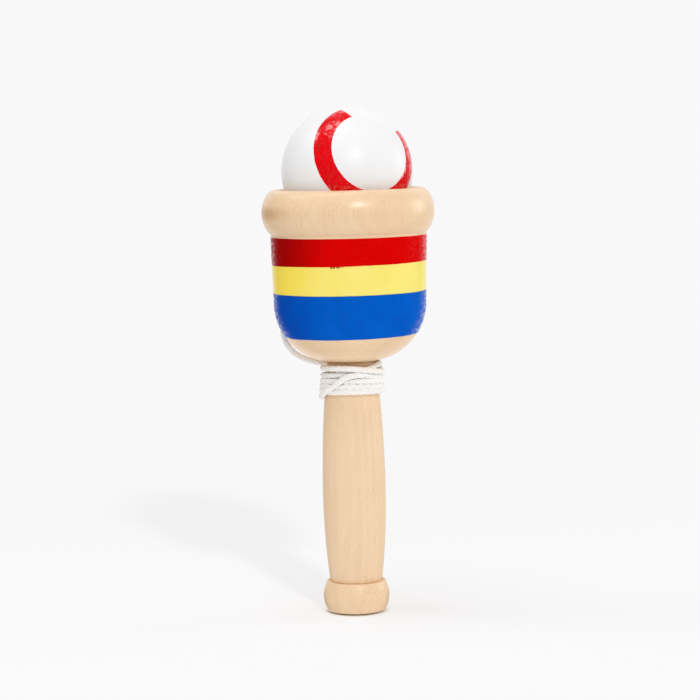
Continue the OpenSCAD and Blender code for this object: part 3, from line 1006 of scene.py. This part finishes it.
# Studio
# A pale floor that runs on into a pale backdrop. A key lamp at the right front casts the shadow, weaker
# lamps stand above, at the left and behind at the right, and even light fills in from all round.
backdrop = (0.945, 0.938, 0.953, 1)
lit_floor = (1.0, 0.993, 1.0, 1)
matt_floor = (0.93, 0.93, 0.935, 1)
fill_light = (1, 1, 1, 1)
room = (0.03, 0.03, 0.03, 1)
room_way = (0.05, 0.998, 0)
room_turn = (0.62, 0.94)
room_slope = 0.35
floor_half = 4.0
shadow_share = 0.5
shadow_reach = (0.2, 0.4)
contact_reach = (9.2 * mm, 10.6 * mm)
fill_strength = 0.6
lamp_aim = Vector((0, 0, 0.7 * rim_mid))
# Each lamp's turn from the front, rise, distance and size in m, and power in W
lamps = {
    "key_lamp": (math.radians(17), math.radians(32), 2.2, (0.18, 0.18), 12.6),
    "top_lamp": (math.radians(-60), math.radians(79), 0.8, (0.5, 0.5), 1.35),
    "left_lamp": (math.radians(-100), math.radians(48), 0.9, (0.3, 0.3), 0.65),
    "right_lamp": (math.radians(108), math.radians(12), 0.9, (0.4, 0.4), 1.2),
}


def studio_shares(way):
    """Two shares for a ray on its way: how far it shows the studio, and how far it meets its lit side.

    The camera sees the pale backdrop everywhere. Gloss shows it behind the toy, and the dark room in
    front."""
    path = way.node("ShaderNodeLightPath", out="Is Camera Ray")
    gloss = way.maths("MAXIMUM", path.out("Is Glossy Ray"), path.out("Is Transmission Ray"))
    behind = way.node(
        "ShaderNodeVectorMath", {0: way, 1: room_way}, out="Value", operation="DOT_PRODUCT"
    )
    slope = way.maths("ABSOLUTE", way.node("ShaderNodeSeparateXYZ", {0: way}).out("Z"))
    lit = way.maths("MAXIMUM", 1 - gloss, (behind + slope * room_slope).between(*room_turn))
    return way.maths("MAXIMUM", path, gloss), lit


floor_mesh = bpy.data.meshes.new("floor")
corners = [(x * floor_half, y * floor_half, 0) for x, y in ((-1, -1), (1, -1), (1, 1), (-1, 1))]
floor_mesh.from_pydata(corners, [], [(0, 1, 2, 3)])
floor = bpy.data.objects.new("floor", floor_mesh)
bpy.context.scene.collection.objects.link(floor)
floor_paint = bpy.data.materials.new("floor_paint")
floor_paint.use_nodes = True
floor_paint.node_tree.nodes.clear()
start = Wire(floor_paint.node_tree)
spot = start.node("ShaderNodeTexCoord", out="Object")
seen, lit = studio_shares(spot.vector("SUBTRACT", lamp_aim).vector("NORMALIZE"))
away = spot.node("ShaderNodeVectorMath", {0: spot}, out="Value", operation="LENGTH")
near = 1 - away.between(*shadow_reach)
under = 1 - away.between(*contact_reach)
shaded = near * start.node("ShaderNodeLightPath", out="Is Camera Ray") * shadow_share
shown = 1 - start.maths("MAXIMUM", shaded, under)
glow_share = seen * shown + (1 - seen) * (1 - under) * near
matt = start.node("ShaderNodeBsdfDiffuse", {"Color": matt_floor})
glow_colour = lit.mix(room, near.mix(backdrop, lit_floor))
glow = start.node("ShaderNodeEmission", {"Color": glow_colour, "Strength": 1})
flooring = start.node("ShaderNodeMixShader", {0: glow_share, 1: matt, 2: glow})
start.node("ShaderNodeOutputMaterial", {"Surface": flooring})
floor_mesh.materials.append(floor_paint)

world = bpy.data.worlds.new("studio")
world.use_nodes = True
world.node_tree.nodes.clear()
start = Wire(world.node_tree)
seen, lit = studio_shares(start.node("ShaderNodeTexCoord", out="Generated"))
shown = start.node("ShaderNodeBackground", {"Color": lit.mix(room, backdrop), "Strength": 1})
fill = start.node("ShaderNodeBackground", {"Color": fill_light, "Strength": fill_strength})
sky = start.node("ShaderNodeMixShader", {0: seen, 1: fill, 2: shown})
start.node("ShaderNodeOutputWorld", {"Surface": sky})
bpy.context.scene.world = world

for name, (turn, rise, distance, (across, tall), watts) in lamps.items():
    lamp_data = bpy.data.lights.new(name, "AREA")
    lamp_data.shape = "ELLIPSE"
    lamp_data.size, lamp_data.size_y = across, tall
    lamp_data.energy = watts
    lamp = bpy.data.objects.new(name, lamp_data)
    bpy.context.scene.collection.objects.link(lamp)
    level = math.cos(rise)
    lamp_way = Vector((math.sin(turn) * level, -math.cos(turn) * level, math.sin(rise)))
    facing = lamp_way.to_track_quat("Z", "Y").to_matrix().to_4x4()
    lamp.matrix_world = Matrix.Translation(lamp_aim + lamp_way * distance) @ facing

bpy.context.scene.view_settings.view_transform = "Standard"
